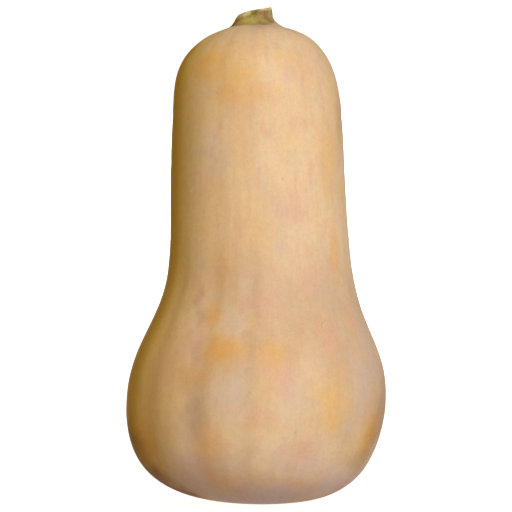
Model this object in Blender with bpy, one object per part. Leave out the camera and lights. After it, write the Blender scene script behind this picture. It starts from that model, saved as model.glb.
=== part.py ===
"""A butternut squash standing on its blossom end: the fruit, and the trimmed stub of its stem.

Heights run up from the foot. An azimuth is measured round the squash from its front, -Y, towards
its right side, +X. The origin is under the middle of the squash, level with the foot.
"""

import math

import bmesh
import bpy
import numpy as np

MM = 0.001
TURN = 2 * math.pi

# The fruit's outline, in millimetres: height, radius, lean to the right, lean to the back.
# It runs from the outer edge of the foot, round the bulb and up the neck, to the crown.
OUTLINE = (
    (0.0, 14.0, 2.8, 0.0),
    (1.7, 26.8, 2.2, 0.0),
    (6.8, 41.6, 0.4, 0.0),
    (16.5, 53.5, -1.0, 0.0),
    (31.0, 60.6, -1.0, 0.0),
    (50.0, 63.2, 0.0, 0.2),
    (69.5, 60.0, 0.7, 0.6),
    (89.0, 51.7, 1.2, 1.2),
    (108.0, 45.7, 1.9, 1.9),
    (128.0, 43.5, 1.6, 2.3),
    (166.0, 42.2, 0.7, 1.8),
    (195.0, 40.6, 0.2, 0.8),
    (210.0, 37.7, -0.2, 0.3),
    (219.5, 32.2, 0.0, 0.1),
    (226.0, 24.8, 0.6, 0.0),
    (230.0, 16.0, 0.5, 0.0),
    (231.6, 8.0, 0.3, 0.0),
)
CROWN_HEIGHT = 232.0
OUTLINE_RINGS = 48
# The levels of the outline that pass under the stem, counted from the crown.
CROWN_LEVELS = 4

# The blossom end, in millimetres: radius and height, from the flat foot in to the corky scar.
BLOSSOM_END = ((14.0, 0.0), (8.6, 0.0), (7.2, 0.5), (5.6, 1.5), (4.6, 1.7), (3.8, 1.2), (1.9, 0.9))
SCAR_TIP_HEIGHT = 0.9

SIDES = 84
DEPTH_RATIO = 0.98

# Shallow grooves run down the bulb from the waist, and show faintly up the neck. GROOVE_DEPTH holds
# heights and depths, in millimetres.
GROOVES = 14
GROOVE_AZIMUTH = math.radians(-31)
GROOVE_SHARPNESS = 2
GROOVE_DEPTH = (
    (0.0, 0.0),
    (4.0, 0.0),
    (18.0, 0.75),
    (60.0, 0.85),
    (95.0, 0.5),
    (130.0, 0.18),
    (205.0, 0.15),
    (222.0, 0.4),
    (229.0, 0.2),
    (232.0, 0.0),
)
# The grooves are deepest at one azimuth, and shallowest opposite it, as a share of their depth.
DEEPEST_AZIMUTH = math.radians(-34)
SHALLOWEST_SHARE = 0.2
# They aren't evenly spaced. Each wave of the unevenness: size and start in radians, waves a turn.
GROOVE_UNEVENNESS = ((0.05, 3, 0.8), (0.03, 5, 0.0))

# Low swells, in millimetres, that keep the fruit from being round. Each wave of them: its share of
# the size, its waves a turn, the rise over which it slips round by a radian, and its start.
SWELL = 0.55
SWELL_WAVES = ((1.0, 2, 30.0, 0.0), (0.6, 3, -45.0, 1.0))
SWELL_FADE = 20.0
# Closer to the axis than this, in millimetres, the grooves and the swells get smaller.
FULL_RELIEF_RADIUS = 20.0

# The stem stub, in millimetres. STEM_SIDE holds rises over the foot, and radii.
STEM_FOOT_HEIGHT = 230.7
STEM_SIDES = 60
STEM_GAP = 0.3
STEM_FOOT_EDGE = 0.25
STEM_AXIS = (-0.3, 0.0)
STEM_LEAN = -0.7
STEM_SIDE = (
    (0.0, 13.0),
    (0.7, 11.7),
    (1.7, 10.5),
    (3.0, 9.6),
    (4.6, 9.0),
    (6.4, 8.7),
    (8.2, 8.5),
    (9.3, 8.1),
)
STEM_UNDER_RINGS = (0.35, 0.7, 0.97)
STEM_LEFT_SPREAD = 0.06
# Its ribs: their depth as a share of the radius, how much of it fades towards the cut, and how
# much the second wave sharpens them.
STEM_RIBS = 5
STEM_RIB_AZIMUTH = math.radians(32)
STEM_RIB_DEPTH = 0.1
STEM_RIB_FADE = 0.35
STEM_RIB_SHARPENING = 0.25
# The cut face is dished, tilts down to the left, and is broken away at its left edge.
STEM_CUT_RINGS = (0.86, 0.66, 0.42, 0.2)
STEM_CUT_HOLLOW = 1.1
STEM_CUT_TILT = 0.4
STEM_CUT_SKEW = 0.18
STEM_BREAK_DROP = 4.2
STEM_BREAK_START = -0.15
STEM_BREAK_CURVE = 1.5

SKIN_COLOUR = (0.72, 0.47, 0.24, 1.0)
STEM_COLOUR = (0.30, 0.23, 0.08, 1.0)
SKIN_ROUGHNESS = 0.48
STEM_ROUGHNESS = 0.8


def clear_scene():
    for thing in list(bpy.data.objects):
        bpy.data.objects.remove(thing, do_unlink=True)


def natural_spline(knots, values):
    """The second derivatives, at the knots, of the smoothest cubic curve through the values."""
    spans = np.diff(knots)
    count = len(knots)
    system = np.eye(count)
    target = np.zeros_like(values)
    for i in range(1, count - 1):
        system[i, i - 1 : i + 2] = spans[i - 1], 2 * (spans[i - 1] + spans[i]), spans[i]
        target[i] = 6 * (
            (values[i + 1] - values[i]) / spans[i] - (values[i] - values[i - 1]) / spans[i - 1]
        )
    return np.linalg.solve(system, target)


def smooth_path(points, count):
    """Count points, evenly spread along the smooth curve through the given ones."""
    points = np.array(points, float)
    steps = np.hypot(np.diff(points[:, 0]), np.diff(points[:, 1]))
    knots = np.concatenate(([0.0], np.cumsum(steps)))
    bends = natural_spline(knots, points)
    path = []
    for place in np.linspace(0.0, knots[-1], count):
        i = min(int(np.searchsorted(knots, place, side="right")) - 1, len(knots) - 2)
        span = knots[i + 1] - knots[i]
        before = (knots[i + 1] - place) / span
        after = (place - knots[i]) / span
        bend = (before**3 - before) * bends[i] + (after**3 - after) * bends[i + 1]
        path.append(before * points[i] + after * points[i + 1] + bend * span**2 / 6)
    return path


def groove(azimuth, height):
    """How far the skin lies inside its outline, in the grooves between the lobes."""
    shift = sum(size * math.sin(waves * azimuth + start) for size, waves, start in GROOVE_UNEVENNESS)
    wave = 0.5 + 0.5 * math.cos(GROOVES * (azimuth + shift - GROOVE_AZIMUTH))
    away = 0.5 - 0.5 * math.cos(azimuth - DEEPEST_AZIMUTH)
    strength = 1 - (1 - SHALLOWEST_SHARE) * away
    heights, depths = zip(*GROOVE_DEPTH)
    return float(np.interp(height, heights, depths)) * strength * wave**GROOVE_SHARPNESS


def swell(azimuth, height):
    """The low bulges and flats of a fruit that grew lying down. They die out at both sides."""
    to_end = max(0.0, min(height, CROWN_HEIGHT - height))
    fade = min(1.0, to_end / SWELL_FADE) * math.cos(azimuth) ** 2
    total = 0.0
    for share, waves, rise, start in SWELL_WAVES:
        total += share * math.sin(waves * azimuth + height / rise + start)
    return SWELL * fade * total


def fruit_ring(height, radius, lean_right, lean_back):
    """One level of the fruit's skin, as points in metres."""
    points = []
    relief_share = min(1.0, radius / FULL_RELIEF_RADIUS)
    for i in range(SIDES):
        azimuth = TURN * i / SIDES
        reach = radius + relief_share * (swell(azimuth, height) - groove(azimuth, height))
        reach *= 1 - (1 - DEPTH_RATIO) * math.cos(azimuth) ** 2
        x = lean_right + reach * math.sin(azimuth)
        y = lean_back - reach * math.cos(azimuth)
        points.append((x * MM, y * MM, height * MM))
    return points


def fruit_rings():
    """The levels of the skin, from round the scar, out along the foot and up to the crown."""
    _, _, foot_right, foot_back = OUTLINE[0]
    blossom = [(height, radius, foot_right, foot_back) for radius, height in BLOSSOM_END[:0:-1]]
    return [fruit_ring(*level) for level in blossom + smooth_path(OUTLINE, OUTLINE_RINGS)]


def crown_height(x, y):
    """The height of the fruit's top at a place under the stem, in millimetres."""
    _, _, right, back = OUTLINE[-1]
    out = math.hypot(x - right, y - back)
    levels = OUTLINE[: -CROWN_LEVELS - 1 : -1]
    radii = [0.0] + [radius for _, radius, _, _ in levels]
    heights = [CROWN_HEIGHT] + [height for height, _, _, _ in levels]
    return float(np.interp(out, radii, heights))


def stem_reach(azimuth, radius, share_up):
    """The stem's radius at an azimuth: five ribs, and a foot that spreads more to the left."""
    turn = STEM_RIBS * (azimuth - STEM_RIB_AZIMUTH)
    rib = math.cos(turn) + STEM_RIB_SHARPENING * math.cos(2 * turn)
    depth = STEM_RIB_DEPTH * (1 - STEM_RIB_FADE * share_up)
    spread = STEM_LEFT_SPREAD * (0.5 - 0.5 * math.sin(azimuth)) * (1 - share_up)
    return radius * (1 + depth * rib + spread)


def stem_place(azimuth, reach, share_up):
    """A point of the stem seen from above. Its axis leans over most just above the foot."""
    right, back = STEM_AXIS
    right += STEM_LEAN * math.sqrt(share_up)
    return right + reach * math.sin(azimuth), back - reach * math.cos(azimuth)


def stem_top(x, y):
    """The height of the cut face, which falls away to the left where the stub broke."""
    rim = STEM_SIDE[-1][1]
    across = (x - STEM_AXIS[0] - STEM_LEAN) / rim + STEM_CUT_SKEW * y / rim
    broken = max(0.0, STEM_BREAK_START - across)
    drop = STEM_BREAK_DROP * broken**STEM_BREAK_CURVE + STEM_CUT_TILT * (1 - across)
    return STEM_FOOT_HEIGHT + STEM_SIDE[-1][0] - drop


def stem_rings():
    """The levels of the stub: its underside, its ribbed side, and the hollowed cut face."""
    azimuths = [TURN * i / STEM_SIDES for i in range(STEM_SIDES)]
    foot_radius = STEM_SIDE[0][1]
    tallest, rim_radius = STEM_SIDE[-1]
    rings = []
    for share in STEM_UNDER_RINGS:
        ring = []
        for azimuth in azimuths:
            x, y = stem_place(azimuth, share * stem_reach(azimuth, foot_radius, 0.0), 0.0)
            ring.append((x, y, crown_height(x, y) + STEM_GAP))
        rings.append(ring)
    for rise, radius in STEM_SIDE:
        share_up = rise / tallest
        ring = []
        for azimuth in azimuths:
            x, y = stem_place(azimuth, stem_reach(azimuth, radius, share_up), share_up)
            low = crown_height(x, y) + STEM_GAP + STEM_FOOT_EDGE
            ring.append((x, y, low + (stem_top(x, y) - low) * share_up))
        rings.append(ring)
    for share in STEM_CUT_RINGS:
        ring = []
        for azimuth in azimuths:
            x, y = stem_place(azimuth, share * stem_reach(azimuth, rim_radius, 1.0), 1.0)
            ring.append((x, y, stem_top(x, y) - STEM_CUT_HOLLOW * (1 - share**2)))
        rings.append(ring)
    return [[(x * MM, y * MM, z * MM) for x, y, z in ring] for ring in rings]


def skinned(name, rings, first_tip, last_tip):
    """A closed mesh object over a stack of rings, which ends in a point at both ends."""
    bm = bmesh.new()
    loops = [[bm.verts.new(point) for point in ring] for ring in rings]
    count = len(loops[0])
    for low, high in zip(loops, loops[1:]):
        for i in range(count):
            j = (i + 1) % count
            bm.faces.new((low[i], low[j], high[j], high[i]))
    for loop, tip in ((loops[0], first_tip), (loops[-1], last_tip)):
        point = bm.verts.new(tip)
        for i in range(count):
            bm.faces.new((loop[i], loop[(i + 1) % count], point))
    bmesh.ops.recalc_face_normals(bm, faces=bm.faces)
    mesh = bpy.data.meshes.new(name)
    bm.to_mesh(mesh)
    bm.free()
    mesh.shade_smooth()
    thing = bpy.data.objects.new(name, mesh)
    bpy.context.scene.collection.objects.link(thing)
    return thing


def finish_material(name, colour, roughness):
    material = bpy.data.materials.new(name)
    material.use_nodes = True
    shader = material.node_tree.nodes["Principled BSDF"]
    shader.inputs["Base Color"].default_value = colour
    shader.inputs["Roughness"].default_value = roughness
    shader.inputs["Metallic"].default_value = 0.0
    return material


def make_fruit():
    _, _, foot_right, foot_back = OUTLINE[0]
    _, _, crown_right, crown_back = OUTLINE[-1]
    scar_tip = (foot_right * MM, foot_back * MM, SCAR_TIP_HEIGHT * MM)
    crown = (crown_right * MM, crown_back * MM, CROWN_HEIGHT * MM)
    fruit = skinned("fruit", fruit_rings(), scar_tip, crown)
    fruit.data.materials.append(finish_material("skin", SKIN_COLOUR, SKIN_ROUGHNESS))
    return fruit


def make_stem():
    right, back = stem_place(0.0, 0.0, 0.0)
    under = (right * MM, back * MM, (crown_height(right, back) + STEM_GAP) * MM)
    right, back = stem_place(0.0, 0.0, 1.0)
    pith = (right * MM, back * MM, (stem_top(right, back) - STEM_CUT_HOLLOW) * MM)
    stem = skinned("stem", stem_rings(), under, pith)
    stem.data.materials.append(finish_material("stem", STEM_COLOUR, STEM_ROUGHNESS))
    return stem


def centre(things):
    """Moves everything sideways so that the middle of the whole squash is over the origin."""
    points = [vertex.co for thing in things for vertex in thing.data.vertices]
    middle = [(min(p[i] for p in points) + max(p[i] for p in points)) / 2 for i in range(2)]
    for thing in things:
        for vertex in thing.data.vertices:
            vertex.co.x -= middle[0]
            vertex.co.y -= middle[1]


def main():
    clear_scene()
    centre([make_fruit(), make_stem()])


main()
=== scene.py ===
"""The looks of a butternut squash standing on its blossom end: its skin, and the stub of its stem.

Names that end in _MM are in millimetres, and other lengths are in metres. An azimuth is measured
round the squash from its front, -Y, towards its right side, +X.
"""

import math

import bmesh
import bpy
import numpy as np
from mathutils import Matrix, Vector, noise
from mathutils.bvhtree import BVHTree


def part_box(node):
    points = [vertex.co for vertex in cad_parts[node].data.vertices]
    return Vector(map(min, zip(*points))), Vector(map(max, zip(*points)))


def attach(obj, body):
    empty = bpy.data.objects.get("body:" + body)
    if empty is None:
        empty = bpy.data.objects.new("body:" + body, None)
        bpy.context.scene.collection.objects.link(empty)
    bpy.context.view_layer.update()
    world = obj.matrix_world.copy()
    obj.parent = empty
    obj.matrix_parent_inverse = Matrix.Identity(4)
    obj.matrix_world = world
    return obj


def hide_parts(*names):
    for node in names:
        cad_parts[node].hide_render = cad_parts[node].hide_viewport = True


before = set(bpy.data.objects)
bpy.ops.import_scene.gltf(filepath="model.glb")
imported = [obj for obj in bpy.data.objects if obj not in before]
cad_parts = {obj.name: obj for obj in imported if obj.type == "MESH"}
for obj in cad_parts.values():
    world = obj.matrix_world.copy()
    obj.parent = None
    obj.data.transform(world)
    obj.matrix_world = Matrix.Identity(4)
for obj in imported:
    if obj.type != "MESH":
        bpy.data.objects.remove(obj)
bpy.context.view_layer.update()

MM = 0.001
TURN = 2 * math.pi

# The fruit's outline, in millimetres: height, radius, lean to the right, lean to the back.
OUTLINE_MM = (
    (0.0, 14.0, 2.8, 0.0), (1.7, 26.8, 2.2, 0.0), (6.8, 41.6, 0.4, 0.0), (16.5, 53.5, -1.0, 0.0),
    (31.0, 60.6, -1.0, 0.0), (50.0, 63.2, 0.0, 0.2), (69.5, 60.0, 0.7, 0.6), (89.0, 51.7, 1.2, 1.2),
    (108.0, 45.7, 1.9, 1.9), (128.0, 43.5, 1.6, 2.3), (166.0, 42.2, 0.7, 1.8),
    (195.0, 40.6, 0.2, 0.8), (210.0, 37.7, -0.2, 0.3), (219.5, 32.2, 0.0, 0.1),
    (226.0, 24.8, 0.6, 0.0), (230.0, 16.0, 0.5, 0.0), (231.6, 8.0, 0.3, 0.0),
    (232.0, 0.2, 0.2, 0.0),
)
CROWN_MM = 232.0
# From the middle of the corky blossom scar out to the edge of the foot: height and radius.
BLOSSOM_END_MM = (
    (0.9, 0.2), (0.95, 1.9), (1.2, 3.6), (1.65, 4.7), (1.45, 5.7), (0.5, 7.2), (0.0, 8.8),
    (0.0, 11.5), (0.0, 14.0),
)
OUTLINE_STEPS = 160
BLOSSOM_STEPS = 40

# The grooves between the lobes, which lie where the solid has them: their depth at heights, in
# millimetres, and each wave of their unevenness, with its size in radians, its waves a turn and its
# start.
GROOVES = 14
GROOVE_AZIMUTH = math.radians(-31)
GROOVE_SHARPNESS = 2
GROOVE_DEPTH_MM = (
    (0.0, 0.0), (4.0, 0.0), (18.0, 0.45), (60.0, 0.75), (95.0, 0.75), (130.0, 0.18), (205.0, 0.15),
    (222.0, 0.4), (229.0, 0.2), (232.0, 0.0),
)
DEEPEST_AZIMUTH = math.radians(-34)
SHALLOWEST_SHARE = 0.2
GROOVE_UNEVENNESS = ((0.05, 3, 0.8), (0.03, 5, 0.0))
# The low swells, as in the solid: share of the size, waves a turn, millimetres of rise over which
# the wave slips round by a radian, and its start.
SWELL_WAVES = ((1.0, 2, 30.0, 0.0), (0.6, 3, -45.0, 1.0))
DEPTH_RATIO = 0.98

SKIN_SIZES = {
    "Around": 360,
    "Levels": 236,
    "Crowding": 0.45,
    "Swell": 0.55 * MM,
    "Lumps": 0.9 * MM,
    "Dimples": 0.16 * MM,
    "Streaks": 0.03 * MM,
    "Puckers": 0.35 * MM,
    "Scar roughness": 0.8 * MM,
    "Speck gap": 9 * MM,
    "Speck density": 1600.0,
    "Speck radius": 0.45 * MM,
    "Scratch gap": 3.5 * MM,
    "Scratch density": 9000.0,
    "Scratch length": 9 * MM,
    "Scratch radius": 0.16 * MM,
}
FULL_RELIEF = 20 * MM
SWELL_FADE = 20 * MM
# The grain runs from the blossom end to the stem, as if the skin lay on a tube of this size.
GRAIN_RADIUS = 45 * MM
GRAIN_LENGTH = 330 * MM
# Spans of height and of radius, in millimetres, over which a thing comes in on the skin.
RELIEF_HEIGHT_MM = (1.5, 14)
SPECK_HEIGHT_MM = (4, 12)
SCRATCH_HEIGHT_MM = (8, 16)
SCAR_RADIUS_MM = (7.5, 5.5)
SCAR_HEIGHT_MM = (6, 3)
CROWN_RADIUS_MM = (24, 13)
CROWN_HEIGHT_MM = (215, 224)
PUCKER_RADIUS_MM = (5, 12)
PUCKER_HEIGHT_MM = (225.5, 229.5)
OCHRE_SHADE_RADIUS_MM = (14, 34)
# The noises of the skin's shape: the size of their lumps, and their detail.
LUMPS = (34 * MM, 1.0)
DIMPLES = (9 * MM, 2.0)
CRUST = (1.3 * MM, 3.0)
STREAKS = (3.2 * MM, 2.0)
STREAK_STRETCH = (1.0, 1.0, 0.09)

# The specks: their radii as shares of the largest, and their lengths and their height as shares of
# the radius.
SPECK_SEED = 11
SPECK_RADII = (0.4, 1.0)
SPECK_LENGTHS = (1.0, 1.6)
SPECK_RISE = 0.3
# Where the scratches crowd together, low on the right: azimuth in degrees, height, and spread.
SCRATCHED_MM = (62, 42, 16)
SCRATCHES_ELSEWHERE = 0.02
SCRATCH_SEED = 4
SCRATCH_LENGTHS = (0.35, 1.0)
SCRATCH_TURNS = (-1.1, 0.5)
SCRATCH_POINTS = 16
SCRATCH_SIDES = 6
SCRATCH_THINNEST = 0.05
SCRATCH_BENDS = (5 * MM, 2.0)
SCRATCH_WANDER = 4 * MM

# The skin's colour marks, by kind, with painted shade and a painted reflection among them: the
# photograph's, and a few guessed ones at the back. Each one: azimuth in degrees, height, width and
# tallness in millimetres, and strength.
MARKS = {
    "blush": (
        (-34, 211, 12, 9, 1.0), (-13, 205, 11, 8, 0.75), (-11, 196, 17, 8, 0.65),
        (-15, 219, 16, 8, 0.4), (54, 165, 8, 22, 0.5), (54, 122, 6, 18, 0.5),
        (-26, 113, 8, 14, 0.4), (-17, 75, 11, 11, 0.8), (7, 73, 9, 10, 0.7), (-25, 90, 6, 10, 0.7),
        (-30, 64, 9, 8, 0.5), (-10, 75, 9, 6, 0.6), (59, 86, 7, 11, 0.5), (35, 50, 10, 13, 0.75),
        (44, 62, 6, 8, 0.5), (64, 34, 11, 16, 0.9), (-60, 33, 12, 15, 1.0), (-20, 30, 10, 11, 0.6),
        (-18, 18, 10, 8, 0.6), (150, 70, 22, 26, 0.6), (-140, 150, 16, 22, 0.5),
    ),
    "rose": (
        (37, 211, 15, 10, 0.45), (21, 143, 9, 10, 0.7), (-36, 151, 12, 10, 0.4),
        (-11, 184, 7, 16, 0.4), (-9, 136, 7, 8, 0.4), (34, 109, 8, 6, 0.5), (1, 98, 10, 8, 0.6),
        (3, 68, 9, 9, 0.7), (12, 62, 8, 10, 1.0), (37, 80, 7, 12, 0.9), (61, 86, 7, 11, 0.8),
        (2, 45, 8, 8, 0.8), (20, 28, 12, 10, 0.6), (-47, 67, 13, 14, 0.6), (-33, 80, 9, 9, 0.6),
        (-24, 20, 14, 9, 0.5), (2, 13, 26, 7, 0.3), (110, 100, 20, 24, 0.6),
    ),
    "honey": (
        (-26, 208, 14, 10, 0.8), (27, 213, 12, 6, 0.6), (-33, 189, 7, 10, 0.7),
        (-3, 132, 13, 18, 0.6), (-13, 150, 9, 12, 0.5), (4, 73, 12, 12, 0.4), (5, 41, 9, 7, 0.6),
        (-52, 54, 22, 26, 0.7), (2, 58, 10, 9, 0.6), (50, 29, 10, 9, 0.9), (62, 198, 7, 10, 0.6),
        (47, 170, 8, 26, 0.5), (32, 52, 17, 17, 0.7), (26, 48, 8, 10, 0.6), (22, 170, 14, 26, 0.4),
        (-30, 142, 10, 26, 0.6), (-14, 178, 9, 22, 0.5), (-165, 60, 26, 30, 0.6),
    ),
    "chalk": (
        (13, 137, 7, 18, 0.5), (-15, 22, 10, 12, 0.6), (-2, 222, 20, 7, 0.3),
        (-12, 56, 11, 16, 0.9), (52, 62, 12, 14, 0.8), (16, 53, 9, 12, 0.5), (-14, 87, 7, 9, 0.6),
        (-34, 169, 10, 16, 0.4), (66, 78, 12, 22, 0.8), (170, 110, 24, 40, 0.5),
    ),
    # Painted reflection: the cool light that the floor throws onto the bulb low down.
    "lilac": (
        (-38, 13, 13, 8, 1.0), (2, 5, 30, 5, 1.0), (12, 8, 22, 6, 1.0), (28, 22, 16, 7, 0.5),
        (50, 12, 13, 6, 0.9), (-34, 24, 9, 6, 0.6), (59, 10, 16, 6, 0.6),
    ),
    # Painted shade: shadows along some of the grooves, and a darker waist and right side of the
    # bulb.
    "dusk": (
        (77, 50, 13, 24, 1.0), (54, 27, 14, 12, 0.5), (0, 58, 12, 10, 0.35), (-4, 73, 34, 12, 0.8),
        (8, 62, 20, 10, 0.6), (-28, 52, 8, 24, 0.9), (32, 96, 60, 30, 0.6), (45, 60, 42, 34, 0.6),
        (-15, 108, 26, 22, 0.6), (-36, 100, 4, 12, 1.0), (-32, 90, 5, 13, 1.0),
        (-30, 76, 5, 12, 1.0), (-32, 62, 6, 14, 0.9), (-7, 96, 4, 12, 0.9), (-6, 80, 4, 14, 0.8),
    ),
    # Rust: those on the right are the skin's own, and those low on the left are painted shade along
    # its lower left edge.
    "rust": (
        (76, 184, 8, 16, 0.2), (70, 36, 12, 17, 0.3), (66, 22, 12, 9, 0.3), (-80, 27, 20, 17, 0.8),
        (-73, 13, 18, 10, 1.0), (-64, 7, 15, 7, 1.0), (-100, 9, 22, 7, 0.5),
    ),
}
# The left side's gold and ochre, the ochre partly painted shade that darkens it towards its
# outline, come in over a span of the way to its outline, and go towards the back: each from none
# to full.
OCHRE_SHADE_LEFT_SPAN = (0.5, 1.0)
OCHRE_SHADE_BACK_SPAN = (0.45, -0.25)
# A mark comes in over this span of its size. Its outline wanders by half of this reach each way, in
# bends of this size and detail.
MARK_SPAN = (1.35, 0.25)
MARK_WANDER = 12 * MM
MARK_BENDS = (11 * MM, 2.0)

# The stem stub's side, in millimetres: rises over its foot, and radii.
STEM_SIDE_MM = (
    (0.0, 12.8), (0.7, 11.1), (1.7, 10.0), (3.0, 9.3), (4.6, 8.9), (6.4, 8.7), (8.2, 8.5),
    (9.3, 8.1),
)
STEM_FOOT_MM = 230.7
STEM_AXIS_MM = (-0.3, 0.0)
# How far the stem stands to the right of its axis, at shares of its height.
STEM_LEAN_MM = ((0.0, 0.0), (0.1, -0.4), (0.24, -1.2), (0.45, -1.5), (0.6, -1.3), (1.0, -1.0))
STEM_AROUND = 240
STEM_SIDE_RINGS = 44
STEM_CUT_SHARES = tuple(1 - 0.03 * i for i in range(33))
STEM_RIBS = 5
STEM_RIB_AZIMUTH = math.radians(32)
STEM_RIB_DEPTH = 0.12
STEM_RIB_FADE = 0.35
STEM_RIB_SHARPENING = 0.25
STEM_LEFT_SPREAD = 0.11
STEM_CUT_HOLLOW_MM = 1.1
STEM_CUT_TILT_MM = 0.95
STEM_CUT_PIVOT = 0.3
STEM_CUT_SKEW = 0.18
STEM_CUT_FRONT_DROP_MM = 0.8
STEM_BREAK_DROP_MM = 3.4
STEM_BREAK_START = -0.15
STEM_BREAK_CURVE = 1.5
# The furrows that dried into the stem's side: azimuth and half width in degrees, and depth in
# millimetres.
STEM_FURROWS = (
    (2, 12, 1.1), (41, 11, 0.6), (76, 8, 0.3), (122, 10, 0.9), (165, 8, 0.7), (-150, 10, 0.9),
    (-104, 9, 0.7), (-62, 8, 0.5),
)
FURROW_START = 0.12
FURROW_FULL = 0.7
# The unevenness of the side: its size in millimetres, its lumps in a turn over TURN, and how tall
# they are in millimetres.
STEM_UNEVENNESS = ((0.35, 2.2, 5.0), (0.2, 9.0, 9.0), (0.1, 26.0, 6.0))
# The tears of the rim: their height in millimetres, and how much more it is on the left. Then the
# share of it that each tear has, the tears in a turn over TURN, and where their noise is read.
STEM_TEAR_MM = 0.24
STEM_LEFT_TEAR_MM = 0.2
STEM_TEARS = ((1.0, 4.0, 0.0), (0.5, 14.0, 3.0))
STEM_FURROW_NOTCH = 0.5
STEM_SUNK_MM = 0.7
# The cut face: its grain, with its size in millimetres, where its noise is read, and its fineness.
CUT_GRAIN = ((0.22, 4.0, 0.8), (0.12, 9.0, 2.4))
CUT_GRAIN_FADE = 6
CUT_LIP_POWER = 6
CUT_RIM_SHARE = 0.93
# Its ring of bundles: height in millimetres, share of the way out, half width, and half their
# number. Then its pith: depth in millimetres, and half width as a share.
CUT_BUNDLES = (0.18, 0.7, 0.07, 15)
CUT_PITH = (0.7, 0.16)
# The colour patches of the stem's side, by kind. Each one: azimuth in degrees, share of the way
# up, half width in degrees, half height as a share, and strength.
STEM_PATCHES = {
    "brown": (
        (-35, 0.52, 12, 0.26, 0.9), (38, 0.45, 19, 0.17, 1.0), (95, 0.5, 16, 0.3, 0.6),
        (-165, 0.35, 16, 0.3, 0.7), (-120, 0.6, 9, 0.3, 0.6),
    ),
    "yellow": (
        (-6, 0.3, 24, 0.2, 0.6), (-52, 0.34, 17, 0.22, 1.0), (140, 0.4, 18, 0.3, 0.8),
        (-135, 0.25, 14, 0.2, 0.7),
    ),
    "grey": (
        (15, 0.58, 11, 0.22, 0.9), (76, 0.58, 20, 0.35, 0.6), (27, 0.18, 9, 0.15, 0.7),
        (180, 0.7, 12, 0.3, 0.7),
    ),
    "rusty": (
        (37, 0.7, 19, 0.18, 1.1), (56, 0.72, 12, 0.15, 0.8), (62, 0.2, 24, 0.2, 0.9),
        (110, 0.3, 14, 0.25, 0.6), (-100, 0.55, 12, 0.3, 0.5),
    ),
    "green": (
        (1, 0.84, 16, 0.28, 1.1), (-10, 0.6, 9, 0.16, 0.6), (122, 0.75, 12, 0.35, 0.7),
        (165, 0.6, 9, 0.35, 0.4), (-150, 0.75, 12, 0.4, 0.9),
    ),
    "cream": (
        (-19, 0.86, 9, 0.17, 1.0), (-60, 0.88, 16, 0.2, 0.9), (150, 0.85, 8, 0.2, 0.7),
    ),
    # Painted shade low at the stem's foot, most of it on the left side.
    "dark": (
        (-96, 0.15, 16, 0.25, 0.8), (15, 0.12, 7, 0.12, 0.35), (-170, 0.1, 14, 0.15, 0.5),
    ),
}
# Where the skin's colour climbs the stem's foot: the share of the way up that it reaches on the
# right, and the softness of its edge.
STEM_FOOT_CLIMB = 0.15
STEM_FOOT_SOFTNESS = 0.08
# How the outlines of the patches wander round the stem and up it: by how much, the lumps in a turn
# over TURN, and how tall the lumps are. The stem counts as this tall, and the second noise is read
# this much higher.
STEM_WANDER_ROUND = (0.12, 5.0, 2.0)
STEM_WANDER_UP = (0.06, 4.0, 2.0)
STEM_WANDER_TALL = 8
STEM_WANDER_HIGHER = 30
# The torn fibres: where the cut face's mark lets them stand, from outside and from inside, and how
# they come in towards the left. Then their shape, leans in radians and shares of their length.
FIBRES_OUTSIDE = (0.1, 0.4)
FIBRES_INSIDE = (0.9, 0.6)
FIBRES_LEFT_MM = (4, -3)
FIBRE_SIDES = 5
FIBRE_SEGMENTS = 2
FIBRE_TIP = 0.15
FIBRE_LEANS = (-0.7, 0.7)
FIBRE_LENGTHS = (0.3, 1.0)
FIBRE_SIZES = {
    "Fibre gap": 0.35 * MM,
    "Fibre density": 4e6,
    "Fibre radius": 0.11 * MM,
    "Fibre length": 0.7 * MM,
}
FIBRE_SEED = 7

# The picture: the camera looks level along +Y, and its frame is this wide at the squash's axis.
CAMERA_DISTANCE = 1.2
CAMERA_HEIGHT = 119.5 * MM
PICTURE_WIDTH = 249.2 * MM
SENSOR_WIDTH_MM = 36.0

# Colours, as linear red, green and blue.
TAN = (0.75, 0.54, 0.315)
CREAM = (0.80, 0.61, 0.395)
ORANGE = (0.79, 0.43, 0.10)
ROSE = (0.72, 0.43, 0.30)
HONEY = (0.77, 0.54, 0.24)
CHALK = (0.63, 0.51, 0.43)
# Painted reflection of the floor, cool and grey.
PAINTED_REFLECTION = (0.66, 0.52, 0.50)
# Rusty brown, dark enough to stand also for painted shade at the lower left edge.
RUST_AND_SHADE = (0.30, 0.13, 0.02)
GOLD = (0.76, 0.56, 0.18)
# Darker ochre, partly painted shade of the left outline.
OCHRE_AND_SHADE = (0.55, 0.32, 0.025)
# Painted shade, greyer and darker than the skin.
PAINTED_SHADE = (0.57, 0.39, 0.25)
CORK = (0.42, 0.27, 0.13)
CORK_PALE = (0.58, 0.42, 0.25)
SPECK_PALE = (0.74, 0.56, 0.36)
CROWN_GREY = (0.62, 0.47, 0.39)
STEM_OLIVE = (0.38, 0.31, 0.08)
STEM_OCHRE = (0.42, 0.30, 0.095)
STEM_STRAW = (0.64, 0.55, 0.27)
STEM_PALE = (0.62, 0.55, 0.33)
STEM_COLOURS = {
    "brown": (0.30, 0.18, 0.045),
    "yellow": (0.50, 0.41, 0.115),
    "grey": (0.41, 0.32, 0.17),
    "rusty": (0.33, 0.16, 0.07),
    "green": (0.20, 0.17, 0.03),
    "cream": (0.62, 0.55, 0.26),
    # Painted shade.
    "dark": (0.15, 0.10, 0.025),
}

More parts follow.
